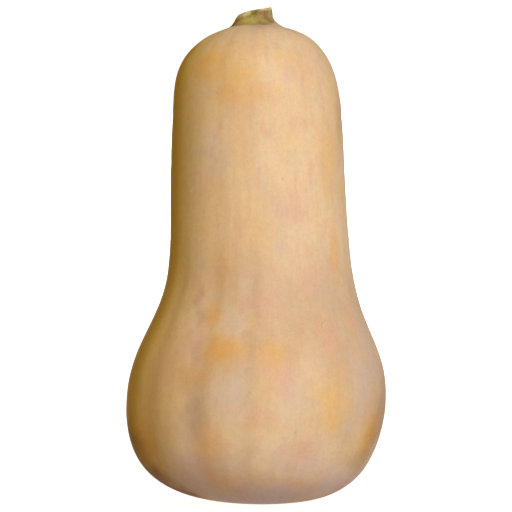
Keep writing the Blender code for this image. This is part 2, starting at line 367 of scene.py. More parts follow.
# The noises of the skin's finish: the size of their lumps, and their detail.
SKIN_BROAD = (48 * MM, 2.0)
SKIN_PATCHES = (15 * MM, 3.0)
SKIN_MOTTLE = (3.4 * MM, 3.0)
SKIN_FRECKLES = (1.0 * MM, 2.0)
SKIN_STREAKS = (2.6 * MM, 3.0)
SKIN_FINE_STREAKS = (0.9 * MM, 2.0)
SKIN_STREAK_STRETCH = (1.0, 1.0, 0.07)
BROAD_EDGE = (0.3, 0.7)
# The small patches all over the skin: where their noise is read, its lumps and detail, the noise at
# which they start and are full, their strength, and their colour.
SMALL_PATCHES = (
    ((0.0, 0.0, 0.5), (11 * MM, 3.0), (0.48, 0.7), 0.5, HONEY),
    ((0.3, 0.0, 0.0), (8 * MM, 3.0), (0.5, 0.7), 0.5, ROSE),
    ((0.0, 0.4, 0.0), (7 * MM, 3.0), (0.52, 0.72), 0.35, CHALK),
)
SMALL_PATCH_STRETCH = (1.0, 1.0, 0.5)
GOLD_STRENGTH = 0.85
OCHRE_SHADE_STRENGTH = 0.95
OCHRE_SHADE_POWER = 6
# The colour and the strength of each kind of mark, and how unevenly the marks show.
MARK_TINTS = {
    "dusk": (PAINTED_SHADE, 1.0),
    "blush": (ORANGE, 0.9),
    "rose": (ROSE, 0.85),
    "honey": (HONEY, 0.75),
    "chalk": (CHALK, 0.65),
    "lilac": (PAINTED_REFLECTION, 0.6),
    "rust": (RUST_AND_SHADE, 1.2),
}
MARK_PATCH_EDGE = (0.2, 0.6)
MARK_PATCHINESS = 0.4
VALLEY_SHADE_STRENGTH = 0.1
CROWN_STRENGTH = 0.6
# The noises that turn the skin yellower or pinker: their lumps and detail, and their swing.
YELLOW_TINGES = (((4.2 * MM, 3.0), 0.18), ((1.3 * MM, 2.0), 0.22))
PINK_TINGE = ((2.4 * MM, 3.0), 0.16)
YELLOW_IN_GREEN = 0.3
PINK_IN_BLUE = 0.5
PORE_GAP = 2.3 * MM
PORE_EDGE = (0.16, 0.06)
PORE_STRENGTH = 0.25
SKIN_ROUGHNESS = 0.55
CORK_PATCHES = (2.5 * MM, 2.0)
CORK_FINE = (0.25 * MM, 2.0)
# Where two colours of a mottled thing meet, as values of its noise.
MOTTLE_EDGE = (0.35, 0.65)
DRY_FIBRES = (0.7 * MM, 3.0)
DRY_FIBRE_STRETCH = (1.0, 1.0, 0.25)
DRY_PATCHES = (4.5 * MM, 3.0)
DRY_FINE = (0.5 * MM, 2.0)
RIB_EDGE = (0.02, 0.12)
STEM_RIM_EDGE = (0.81, 0.93)


def named(sockets, name):
    """The socket that has this place in the list, or this identifier or name among those in use."""
    if isinstance(name, int):
        return sockets[name]
    return next(s for s in sockets if s.enabled and name in (s.identifier, s.name))


def joined_by(operation):
    """A method of a value that joins it to any others through a Math node."""
    return lambda value, *others: value.math(operation, value, *others)


class Value:
    """An output of a node. Python's operators join it to others through Math nodes."""

    def __init__(self, tree, socket):
        self.tree = tree
        self.socket = socket

    def output(self, name):
        return Value(self.tree, named(self.socket.node.outputs, name))

    def math(self, operation, *values):
        settings = {"operation": operation}
        return self.tree.add("ShaderNodeMath", settings, dict(enumerate(values)))

    def __rsub__(self, other):
        return self.math("SUBTRACT", other, self)

    __add__ = __radd__ = joined_by("ADD")
    __mul__ = __rmul__ = joined_by("MULTIPLY")
    __sub__ = joined_by("SUBTRACT")
    __truediv__ = joined_by("DIVIDE")
    __pow__ = joined_by("POWER")
    sin = joined_by("SINE")
    cos = joined_by("COSINE")
    at_least = joined_by("MAXIMUM")
    at_most = joined_by("MINIMUM")

    def swing(self, size):
        """A noise made to swing round 0, by half of this size each way."""
        return (self - 0.5) * size


class Tree:
    """A node tree, to which each call adds a node and gives one of its outputs."""

    def __init__(self, owner):
        self.nodes = owner.nodes
        self.links = owner.links

    def add(self, kind, settings=None, values=None, output=None):
        """Adds a node, sets it, and then gives its sockets their values or links."""
        made = self.nodes.new(kind)
        for name, setting in (settings or {}).items():
            if name == "curve":
                draw_curve(made.mapping, setting)
            else:
                setattr(made, name, setting)
        for name, value in (values or {}).items():
            socket = named(made.inputs, name)
            for part in value if isinstance(value, list) else [value]:
                if isinstance(part, Value):
                    self.links.new(part.socket, socket)
                else:
                    socket.default_value = part
        if output is not None:
            return Value(self, named(made.outputs, output))
        shown = [s for s in made.outputs if s.enabled]
        return Value(self, shown[0]) if shown else None

    def vector(self, operation, *values):
        settings = {"operation": operation}
        return self.add("ShaderNodeVectorMath", settings, dict(enumerate(values)))

    def scaled(self, vector, share):
        settings = {"operation": "SCALE"}
        return self.add("ShaderNodeVectorMath", settings, {"Vector": vector, "Scale": share})

    def split(self, vector):
        x = self.add("ShaderNodeSeparateXYZ", None, {"Vector": vector})
        return x, x.output("Y"), x.output("Z")

    def joined(self, x, y, z):
        return self.add("ShaderNodeCombineXYZ", None, {"X": x, "Y": y, "Z": z})

    def ramp(self, value, start, end):
        """Rises smoothly from 0 at start to 1 at end."""
        settings = {"interpolation_type": "SMOOTHSTEP"}
        values = {"Value": value, "From Min": start, "From Max": end}
        return self.add("ShaderNodeMapRange", settings, values)

    def ramp_mm(self, value, span):
        """Rises smoothly over a span in millimetres."""
        return self.ramp(value, *(place * MM for place in span))

    def here(self):
        """The place of each point, in Geometry Nodes."""
        return self.add("GeometryNodeInputPosition")

    def attribute(self, name, kind):
        """An attribute of the mesh, in Geometry Nodes."""
        return self.add("GeometryNodeInputNamedAttribute", {"data_type": kind}, {"Name": name})

    def store(self, geometry, name, value, kind):
        values = {"Geometry": geometry, "Name": name, "Value": value}
        return self.add("GeometryNodeStoreNamedAttribute", {"data_type": kind}, values)

    def marks(self, *names):
        """The mesh's attributes with these names, in a material."""
        return {
            name: self.add("ShaderNodeAttribute", {"attribute_name": name}, output="Fac")
            for name in names
        }

    def noise(self, place, size, detail, output=None):
        """Noise from 0 to 1, with lumps of about this size."""
        values = {"Vector": place, "Scale": 1 / size, "Detail": detail}
        return self.add("ShaderNodeTexNoise", None, values, output)

    def wandered(self, place, bends, reach):
        """A place moved by up to half this reach each way, in bends of this size and detail."""
        way = self.vector("SUBTRACT", self.noise(place, *bends, "Color"), (0.5, 0.5, 0.5))
        return self.vector("ADD", place, self.scaled(way, reach))

    def mix(self, share, first, second, blend="MIX"):
        settings = {"data_type": "RGBA", "blend_type": blend}
        colours = [c if isinstance(c, Value) else (*c, 1.0) for c in (first, second)]
        values = {"Factor_Float": share, "A_Color": colours[0], "B_Color": colours[1]}
        return self.add("ShaderNodeMix", settings, values)


def draw_curve(mapping, points):
    """Sets a float curve's points, with no overshoot between them."""
    curve = mapping.curves[0]
    for place, point in zip((0, -1), (points[0], points[-1])):
        curve.points[place].location = point
    for point in points[1:-1]:
        curve.points.new(*point)
    for point in curve.points:
        point.handle_type = "AUTO_CLAMPED"
    mapping.update()


def in_scene(name, data):
    """A new object in the scene, at the origin."""
    thing = bpy.data.objects.new(name, data)
    bpy.context.scene.collection.objects.link(thing)
    return thing


def geometry_tree(name, sizes):
    """A Geometry Nodes tree with a geometry and these sizes as its inputs."""
    group = bpy.data.node_groups.new(name, "GeometryNodeTree")
    sockets = group.interface
    sockets.new_socket("Geometry", in_out="INPUT", socket_type="NodeSocketGeometry")
    for label, size in sizes.items():
        kind = "NodeSocketInt" if isinstance(size, int) else "NodeSocketFloat"
        sockets.new_socket(label, in_out="INPUT", socket_type=kind)
    sockets.new_socket("Geometry", in_out="OUTPUT", socket_type="NodeSocketGeometry")
    tree = Tree(group)
    given = tree.add("NodeGroupInput")
    return group, tree, {label: given.output(label) for label in ("Geometry", *sizes)}


def end_tree(tree, parts):
    """Ends a Geometry Nodes tree with these parts, each a geometry and its material, made real."""
    finished = [
        tree.add("GeometryNodeSetMaterial", None, {"Geometry": geometry, "Material": finish})
        for geometry, finish in parts
    ]
    joined = tree.add("GeometryNodeJoinGeometry", None, {"Geometry": finished})
    real = tree.add("GeometryNodeRealizeInstances", None, {"Geometry": joined})
    smooth = tree.add("GeometryNodeSetShadeSmooth", None, {"Geometry": real, "Shade Smooth": True})
    tree.add("NodeGroupOutput", None, {"Geometry": smooth})


def scattered(tree, mesh, gap, density, share, seed):
    """Points on a mesh's faces, no closer together than the gap."""
    values = {"Mesh": mesh, "Distance Min": gap, "Density Max": density, "Density Factor": share}
    values["Seed"] = seed
    return tree.add("GeometryNodeDistributePointsOnFaces", {"distribute_method": "POISSON"}, values)


def random_between(tree, span, seed):
    values = {"Min_001": span[0], "Max_001": span[1], "Seed": seed}
    return tree.add("FunctionNodeRandomValue", {"data_type": "FLOAT"}, values)


def placed(tree, points, thing, angles, scale):
    """Copies of a thing at points on a mesh, turned by angles about the mesh's own axes there."""
    turn = tree.add("FunctionNodeEulerToRotation", None, {"Euler": angles})
    values = {"Rotation": points.output("Rotation"), "Rotate By": turn}
    turned = tree.add("FunctionNodeRotateRotation", {"rotation_space": "LOCAL"}, values)
    values = {"Points": points, "Instance": thing, "Rotation": turned, "Scale": scale}
    return tree.add("GeometryNodeInstanceOnPoints", None, values)


def grown(name, source, group, sizes):
    """The piece that a Geometry Nodes tree makes from a source mesh, as a plain mesh."""
    maker = in_scene(name + "_maker", source)
    modifier = maker.modifiers.new(group.name, "NODES")
    modifier.node_group = group
    for socket in group.interface.items_tree:
        if socket.in_out == "INPUT" and socket.name in sizes:
            modifier[socket.identifier] = sizes[socket.name]
    graph = bpy.context.evaluated_depsgraph_get()
    mesh = bpy.data.meshes.new_from_object(maker.evaluated_get(graph), depsgraph=graph)
    mesh.name = name
    bpy.data.objects.remove(maker)
    return in_scene(name, mesh)


def shaded(name, roughness, specular):
    """A material, with its tree and its Principled shader."""
    finish = bpy.data.materials.new(name)
    finish.use_nodes = True
    shader = finish.node_tree.nodes["Principled BSDF"]
    shader.inputs["Roughness"].default_value = roughness
    shader.inputs["Specular IOR Level"].default_value = specular
    return finish, Tree(finish.node_tree), shader


def feed(tree, shader, socket, value):
    tree.links.new(value.socket, shader.inputs[socket])


def feed_relief(tree, shader, height, strength, distance):
    values = {"Height": height, "Strength": strength, "Distance": distance}
    feed(tree, shader, "Normal", tree.add("ShaderNodeBump", None, values))


# The fruit's skin.


def smooth_path(points, count):
    """Count points, evenly spread along the smoothest cubic curve through the given ones."""
    points = np.array(points, float)
    steps = np.hypot(np.diff(points[:, 0]), np.diff(points[:, 1]))
    knots = np.concatenate(([0.0], np.cumsum(steps)))
    spans = np.diff(knots)
    system = np.eye(len(knots))
    target = np.zeros_like(points)
    for i in range(1, len(knots) - 1):
        system[i, i - 1 : i + 2] = spans[i - 1], 2 * (spans[i - 1] + spans[i]), spans[i]
        rise = (points[i + 1] - points[i]) / spans[i] - (points[i] - points[i - 1]) / spans[i - 1]
        target[i] = 6 * rise
    bends = np.linalg.solve(system, target)
    path = []
    for place in np.linspace(0.0, knots[-1], count):
        i = min(int(np.searchsorted(knots, place, side="right")) - 1, len(knots) - 2)
        before = (knots[i + 1] - place) / spans[i]
        after = (place - knots[i]) / spans[i]
        bend = (before**3 - before) * bends[i] + (after**3 - after) * bends[i + 1]
        path.append(before * points[i] + after * points[i + 1] + bend * spans[i] ** 2 / 6)
    return path


def outline_levels():
    """Height, radius and leans, in metres, from the blossom scar round the bulb to the crown."""
    _, _, foot_right, foot_back = OUTLINE_MM[0]
    blossom = smooth_path(BLOSSOM_END_MM, BLOSSOM_STEPS)
    blossom = [(max(0.0, height), radius, foot_right, foot_back) for height, radius in blossom]
    levels = blossom[:-1] + [tuple(level) for level in smooth_path(OUTLINE_MM, OUTLINE_STEPS)]
    return [[value * MM for value in level] for level in levels]


def outline_mesh():
    """The outline as a chain of edges, with the lean of each level as an attribute."""
    levels = outline_levels()
    mesh = bpy.data.meshes.new("squash_outline")
    edges = [(i, i + 1) for i in range(len(levels) - 1)]
    mesh.from_pydata([(radius, 0.0, height) for height, radius, _, _ in levels], edges, [])
    leans = mesh.attributes.new("lean", "FLOAT_VECTOR", "POINT")
    for i, (_, _, right, back) in enumerate(levels):
        leans.data[i].vector = (right, back, 0.0)
    return mesh


def groove(tree, azimuth, height):
    """How deep the skin lies in the grooves at a place, and the grooves' wave, from 0 to 1."""
    shift = sum((azimuth * waves + start).sin() * size for size, waves, start in GROOVE_UNEVENNESS)
    wave = ((azimuth + shift - GROOVE_AZIMUTH) * GROOVES).cos() * 0.5 + 0.5
    wave = wave**GROOVE_SHARPNESS
    away = (0.5 - (azimuth - DEEPEST_AZIMUTH).cos() * 0.5) ** 0.5
    strength = 1 - away * (1 - SHALLOWEST_SHARE)
    deepest = max(depth for _, depth in GROOVE_DEPTH_MM)
    points = [(h / CROWN_MM, depth / deepest) for h, depth in GROOVE_DEPTH_MM]
    share = tree.add("ShaderNodeFloatCurve", {"curve": points}, {"Value": height / (CROWN_MM * MM)})
    seen = share * strength * wave
    return seen * (deepest * MM), seen


def swell(azimuth, height, size):
    """The low bulges and flats of a fruit that grew lying down."""
    to_end = height.at_most(CROWN_MM * MM - height).at_least(0.0)
    fade = (to_end / SWELL_FADE).at_most(1.0) * azimuth.cos() ** 2
    waves = sum(
        (azimuth * count + height / (rise * MM) + start).sin() * share
        for share, count, rise, start in SWELL_WAVES
    )
    return fade * waves * size


def mark_strength(tree, place, marks):
    """How strongly a kind of colour mark shows at a place on the skin."""
    total = None
    for azimuth, height, width, tall, strength in marks:
        away = tree.vector("SUBTRACT", place, skin_place(azimuth, height))
        shares = tree.vector("DIVIDE", away, (width * MM, width * MM, tall * MM))
        far = tree.vector("LENGTH", shares)
        mark = tree.ramp(far, *MARK_SPAN) * strength
        total = mark if total is None else total.at_least(mark)
    return total


def specks(tree, skin, size):
    """Small corky domes that are half sunk into the skin."""
    _, _, height = tree.split(tree.here())
    share = tree.ramp_mm(height, SPECK_HEIGHT_MM)
    points = scattered(tree, skin, size["Speck gap"], size["Speck density"], share, SPECK_SEED)
    radius = size["Speck radius"] * random_between(tree, SPECK_RADII, SPECK_SEED)
    length = radius * random_between(tree, SPECK_LENGTHS, SPECK_SEED + 1)
    dome = tree.add("GeometryNodeMeshIcoSphere", None, {"Radius": 1.0, "Subdivisions": 2})
    scale = tree.joined(radius, length, radius * SPECK_RISE)
    return placed(tree, points, dome, (0.0, 0.0, 0.0), scale)


def scratches(tree, skin, size):
    """Healed scratches: thin, tapered cords that follow the skin, most of them low on the right."""
    azimuth, height, spread = SCRATCHED_MM
    place = tree.here()
    away = tree.vector("SUBTRACT", place, skin_place(azimuth, height))
    near = tree.ramp_mm(tree.vector("LENGTH", away), (spread, spread / 2))
    _, _, height = tree.split(place)
    share = (near + SCRATCHES_ELSEWHERE) * tree.ramp_mm(height, SCRATCH_HEIGHT_MM)
    gap, density = size["Scratch gap"], size["Scratch density"]
    points = scattered(tree, skin, gap, density, share, SCRATCH_SEED)
    length = size["Scratch length"] * random_between(tree, SCRATCH_LENGTHS, SCRATCH_SEED)
    turn = random_between(tree, SCRATCH_TURNS, SCRATCH_SEED + 1)
    ends = {"Start": (0, -0.5, 0), "End": (0, 0.5, 0)}
    line = tree.add("GeometryNodeCurvePrimitiveLine", None, ends)
    line = tree.add("GeometryNodeResampleCurve", None, {"Curve": line, "Count": SCRATCH_POINTS})
    lines = placed(tree, points, line, tree.joined(0.0, 0.0, turn), length)
    lines = tree.add("GeometryNodeRealizeInstances", None, {"Geometry": lines})
    place = tree.here()
    wandered = tree.wandered(place, SCRATCH_BENDS, SCRATCH_WANDER)
    values = {"Target": skin, "Source Position": wandered}
    on_skin = tree.add("GeometryNodeProximity", {"target_element": "FACES"}, values)
    lines = tree.add("GeometryNodeSetPosition", None, {"Geometry": lines, "Position": on_skin})
    share = tree.add("GeometryNodeSplineParameter", output="Factor")
    taper = (share * math.pi).sin().at_least(SCRATCH_THINNEST) * size["Scratch radius"]
    sides = {"Resolution": SCRATCH_SIDES, "Radius": 1.0}
    circle = tree.add("GeometryNodeCurvePrimitiveCircle", None, sides)
    values = {"Curve": lines, "Profile Curve": circle, "Scale": taper, "Fill Caps": True}
    return tree.add("GeometryNodeCurveToMesh", None, values)


def skin_place(azimuth, height):
    """The place on the plain outline at an azimuth in degrees and a height in millimetres."""
    levels = list(zip(*OUTLINE_MM))
    radius, right, back = (float(np.interp(height, levels[0], level)) for level in levels[1:])
    turn = math.radians(azimuth)
    place = (right + radius * math.sin(turn), back - radius * math.cos(turn), height)
    return tuple(value * MM for value in place)


def skin_tree(finish, cork, healed):
    """The tree that turns the outline into the fruit's skin, with its relief and its marks."""
    group, tree, size = geometry_tree("squash skin", SKIN_SIZES)
    outline = tree.add("GeometryNodeMeshToCurve", None, {"Mesh": size["Geometry"]})
    sides = {"Vertices": size["Around"], "Side Segments": size["Levels"], "Depth": 1.0}
    tube = tree.add("GeometryNodeMeshCylinder", {"fill_type": "TRIANGLE_FAN"}, sides)
    x, y, z = tree.split(tree.here())
    up = z + 0.5
    share = up - (up * TURN).sin() * size["Crowding"] / TURN
    lean = tree.attribute("lean", "FLOAT_VECTOR")
    values = {"Curves": outline, "Value": lean, "Factor": share}
    lean = tree.add("GeometryNodeSampleCurve", {"data_type": "FLOAT_VECTOR"}, values)
    radius, _, height = tree.split(lean.output("Position"))
    right, back, _ = tree.split(lean)
    azimuth = x.math("ARCTAN2", x, y * -1.0)

    plain = tree.joined(right + radius * x, back + radius * y, height)
    depth, seen = groove(tree, azimuth, height)
    wandered = tree.wandered(plain, MARK_BENDS, MARK_WANDER)
    marks = {kind: mark_strength(tree, wandered, places) for kind, places in MARKS.items()}
    marks["valley"] = seen
    # The left side, for its gold and for its ochre that is partly painted shade.
    flank = tree.ramp(x * -1.0, *OCHRE_SHADE_LEFT_SPAN) * tree.ramp_mm(radius, OCHRE_SHADE_RADIUS_MM)
    marks["flank"] = flank * tree.ramp(y, *OCHRE_SHADE_BACK_SPAN)
    marks["scar"] = tree.ramp_mm(radius, SCAR_RADIUS_MM) * tree.ramp_mm(height, SCAR_HEIGHT_MM)
    marks["crown"] = tree.ramp_mm(radius, CROWN_RADIUS_MM) * tree.ramp_mm(height, CROWN_HEIGHT_MM)
    for name, mark in marks.items():
        tube = tree.store(tube, name, mark, "FLOAT")
    grain = tree.joined(x * GRAIN_RADIUS, y * GRAIN_RADIUS, share * GRAIN_LENGTH)
    tube = tree.store(tube, "grain", grain, "FLOAT_VECTOR")

    relief = (radius / FULL_RELIEF).at_most(1.0)
    rise = swell(azimuth, height, size["Swell"]) - depth
    clear = tree.ramp_mm(height, RELIEF_HEIGHT_MM)
    lumps = tree.noise(plain, *LUMPS).swing(size["Lumps"])
    dimples = tree.noise(plain, *DIMPLES).swing(size["Dimples"])
    reach = radius + relief * (rise + (lumps + dimples) * clear)
    reach = reach * (1 - y**2 * (1 - DEPTH_RATIO))
    pucker = (azimuth * STEM_RIBS - STEM_RIB_AZIMUTH * STEM_RIBS).cos()
    near_stem = tree.ramp_mm(height, PUCKER_HEIGHT_MM) * tree.ramp_mm(radius, PUCKER_RADIUS_MM)
    lift = pucker * near_stem * size["Puckers"]
    crust = marks["scar"] * tree.noise(plain, *CRUST) * size["Scar roughness"]
    surface = tree.joined(right + reach * x, back + reach * y, height + lift - crust)
    shaped = tree.add("GeometryNodeSetPosition", None, {"Geometry": tube, "Position": surface})

    along = tree.vector("MULTIPLY", tree.attribute("grain", "FLOAT_VECTOR"), STREAK_STRETCH)
    _, _, height = tree.split(tree.here())
    streaks = tree.noise(along, *STREAKS).swing(size["Streaks"])
    streaks = streaks * tree.ramp_mm(height, RELIEF_HEIGHT_MM)
    offset = tree.scaled(tree.add("GeometryNodeInputNormal"), streaks)
    shaped = tree.add("GeometryNodeSetPosition", None, {"Geometry": shaped, "Offset": offset})
    cords = scratches(tree, shaped, size)
    end_tree(tree, [(shaped, finish), (specks(tree, shaped, size), cork), (cords, healed)])
    return group


def make_skin():
    cork = corky_finish("corky specks", SPECK_PALE, CORK_PALE)
    healed = corky_finish("healed scratches", CHALK, CORK_PALE)
    group = skin_tree(skin_finish(), cork, healed)
    skin = grown("squash_skin", outline_mesh(), group, SKIN_SIZES)
    shift = settle(skin, "fruit")
    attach(skin, "root")
    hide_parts("fruit")
    return skin, shift


def settle(thing, node):
    """Moves a piece's mesh sideways, so that its middle is over its node's, and gives the move."""
    low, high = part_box(node)
    points = np.array([vertex.co for vertex in thing.data.vertices])
    middle = (points.min(0) + points.max(0)) / 2
    shift = Vector(((low.x + high.x) / 2 - middle[0], (low.y + high.y) / 2 - middle[1], 0.0))
    for vertex in thing.data.vertices:
        vertex.co += shift
    return shift


def skin_finish():
    """Waxy skin: tan, with warm and chalky patches, fine streaks from stem to blossom end, painted
    shade in its grooves and on its left side, and a painted reflection low down.
    """
    finish, tree, shader = shaded("squash skin", SKIN_ROUGHNESS, 0.3)
    place = tree.add("ShaderNodeTexCoord", output="Object")
    grain = tree.add("ShaderNodeAttribute", {"attribute_name": "grain"}, output="Vector")
    mark = tree.marks("valley", "flank", "scar", "crown", *MARKS)
    along = tree.vector("MULTIPLY", grain, SKIN_STREAK_STRETCH)
    streaks = tree.noise(along, *SKIN_STREAKS)
    fine_streaks = tree.noise(along, *SKIN_FINE_STREAKS)
    patches = tree.noise(place, *SKIN_PATCHES)
    mottle = tree.noise(place, *SKIN_MOTTLE)
    freckles = tree.noise(place, *SKIN_FRECKLES)

    colour = tree.mix(tree.ramp(tree.noise(place, *SKIN_BROAD), *BROAD_EDGE), TAN, CREAM)
    tall = tree.vector("MULTIPLY", grain, SMALL_PATCH_STRETCH)
    for shift, lumps, edge, strength, tint in SMALL_PATCHES:
        patch = tree.noise(tree.vector("ADD", tall, shift), *lumps)
        colour = tree.mix(tree.ramp(patch, *edge) * strength, colour, tint)
    colour = tree.mix(mark["flank"] * GOLD_STRENGTH, colour, GOLD)
    # Painted shade, partly the skin's own ochre: the left side darker towards its outline.
    colour = tree.mix(mark["flank"] ** OCHRE_SHADE_POWER * OCHRE_SHADE_STRENGTH, colour, OCHRE_AND_SHADE)
    patchy = tree.ramp(patches, *MARK_PATCH_EDGE) * MARK_PATCHINESS + (1 - MARK_PATCHINESS)
    for kind, (tint, strength) in MARK_TINTS.items():
        colour = tree.mix(mark[kind] * strength * patchy, colour, tint)
    # Painted shade: the grooves greyer and a little darker.
    colour = tree.mix(mark["valley"] * VALLEY_SHADE_STRENGTH, colour, CHALK)
    colour = tree.mix(mark["crown"] * CROWN_STRENGTH, colour, CROWN_GREY)
    grey = streaks.swing(0.10) + fine_streaks.swing(0.04) + mottle.swing(0.13)
    grey = grey + freckles.swing(0.18) + 1.0
    yellow = sum(tree.noise(place, *lumps).swing(size) for lumps, size in YELLOW_TINGES)
    lumps, size = PINK_TINGE
    pink = tree.noise(place, *lumps).swing(size)
    green = grey - yellow * YELLOW_IN_GREEN - pink
    shade = tree.joined(grey, green, grey - yellow - pink * PINK_IN_BLUE)
    colour = tree.mix(1.0, colour, shade, "MULTIPLY")
    pores = tree.add("ShaderNodeTexVoronoi", None, {"Vector": place, "Scale": 1 / PORE_GAP})
    pore = tree.ramp(pores, *PORE_EDGE)
    colour = tree.mix(pore * PORE_STRENGTH, colour, CREAM)
    feed(tree, shader, "Base Color", tree.mix(mark["scar"], colour, CORK))

    feed(tree, shader, "Roughness", patches.swing(0.12) + mottle.swing(0.1) + SKIN_ROUGHNESS)
    relief = freckles * 0.35 + mottle * 0.35 + fine_streaks * 0.4 - pore * 0.3
    feed_relief(tree, shader, relief, strength=0.5, distance=0.12 * MM)
    shader.inputs["Subsurface Weight"].default_value = 0.12
    shader.inputs["Subsurface Radius"].default_value = (1.0, 0.45, 0.15)
    shader.inputs["Subsurface Scale"].default_value = 3 * MM
    return finish


def corky_finish(name, light, dark):
    """Dry, matt cork, mottled between two colours."""
    finish, tree, shader = shaded(name, 0.8, 0.25)
    place = tree.add("ShaderNodeTexCoord", output="Object")
    patches = tree.ramp(tree.noise(place, *CORK_PATCHES), *MOTTLE_EDGE)
    feed(tree, shader, "Base Color", tree.mix(patches, light, dark))
    fine = tree.noise(place, *CORK_FINE)
    feed_relief(tree, shader, fine, strength=0.5, distance=0.1 * MM)
    return finish


# The stem stub.


def stem_reach(azimuth, radius, share_up):
    """The stem's radius in millimetres: five ribs, and a foot that spreads more to the left."""
    turn = STEM_RIBS * (azimuth - STEM_RIB_AZIMUTH)
    rib = math.cos(turn) + STEM_RIB_SHARPENING * math.cos(2 * turn)
    depth = STEM_RIB_DEPTH * (1 - STEM_RIB_FADE * share_up)
    spread = STEM_LEFT_SPREAD * (0.5 - 0.5 * math.sin(azimuth)) * (1 - share_up)
    return radius * (1 + depth * rib + spread)


def degrees_apart(azimuth, middle):
    """How many degrees an azimuth in radians lies past a middle in degrees."""
    return (math.degrees(azimuth) - middle + 180) % 360 - 180


def stem_furrow(azimuth, share_up):
    """How deep the side lies in its furrows at a place, in millimetres."""
    strength = min(1.0, max(0.0, (share_up - FURROW_START) / (FURROW_FULL - FURROW_START)))
    return strength * sum(
        deepest * math.exp(-((degrees_apart(azimuth, middle) / width) ** 2))
        for middle, width, deepest in STEM_FURROWS
    )


def stem_marks(azimuth, share_up):
    """How strongly each kind of patch, and the skin's colour at the foot, shows at a place."""
    size, around, tall = STEM_WANDER_ROUND
    azimuth += size * rough(azimuth, STEM_WANDER_TALL * share_up, around, tall)
    size, around, tall = STEM_WANDER_UP
    height = STEM_WANDER_TALL * share_up + STEM_WANDER_HIGHER
    share_up += size * rough(azimuth, height, around, tall)
    marks = {}
    for kind, patches in STEM_PATCHES.items():
        near = 0.0
        for middle, height, width, tall, strength in patches:
            away = math.hypot(degrees_apart(azimuth, middle) / width, (share_up - height) / tall)
            near = max(near, strength * math.exp(-(away**3)))
        marks[kind] = near
    edge = STEM_FOOT_CLIMB * max(0.0, math.sin(azimuth)) ** 2
    marks["foot"] = min(1.0, max(0.0, (edge - share_up) / STEM_FOOT_SOFTNESS + 0.5))
    return marks


def stem_place(azimuth, reach, share_up):
    right, back = STEM_AXIS_MM
    shares, leans = zip(*STEM_LEAN_MM)
    right += float(np.interp(share_up, shares, leans))
    return right + reach * math.sin(azimuth), back - reach * math.cos(azimuth)


def stem_top(x, y):
    """The height of the cut face, which falls away to the left where the stub broke."""
    rise, rim = STEM_SIDE_MM[-1]
    across = (x - STEM_AXIS_MM[0] - STEM_LEAN_MM[-1][1]) / rim + STEM_CUT_SKEW * y / rim
    broken = max(0.0, STEM_BREAK_START - across)
    tilt = STEM_CUT_TILT_MM * (STEM_CUT_PIVOT - across)
    tilt += STEM_CUT_FRONT_DROP_MM * max(0.0, -y / rim)
    drop = STEM_BREAK_DROP_MM * broken**STEM_BREAK_CURVE + tilt
    return STEM_FOOT_MM + rise - drop


def rough(azimuth, height, around, tall):
    """Noise on the stem's side, with this many lumps in a turn over TURN, and this tall."""
    place = (around * math.sin(azimuth), around * math.cos(azimuth), height / tall)
    return noise.noise(Vector(place))


def cut_height(azimuth, x, y, share, lip):
    """The height of the cut face: dished, with its torn lip, grain, ring of bundles and pith."""
    dish = STEM_CUT_HOLLOW_MM * (1 - share**2)
    grain = sum(
        size * noise.noise(Vector((x, y, read_at)) * fineness)
        for size, read_at, fineness in CUT_GRAIN
    )
    tall, out, width, pairs = CUT_BUNDLES
    bundle = tall * math.exp(-(((share - out) / width) ** 2)) * math.cos(pairs * azimuth) ** 2
    deep, width = CUT_PITH
    pith = deep * math.exp(-((share / width) ** 2))
    height = stem_top(x, y) - dish + lip * share**CUT_LIP_POWER
    return height + grain * min(1.0, CUT_GRAIN_FADE * (1 - share)) + bundle - pith


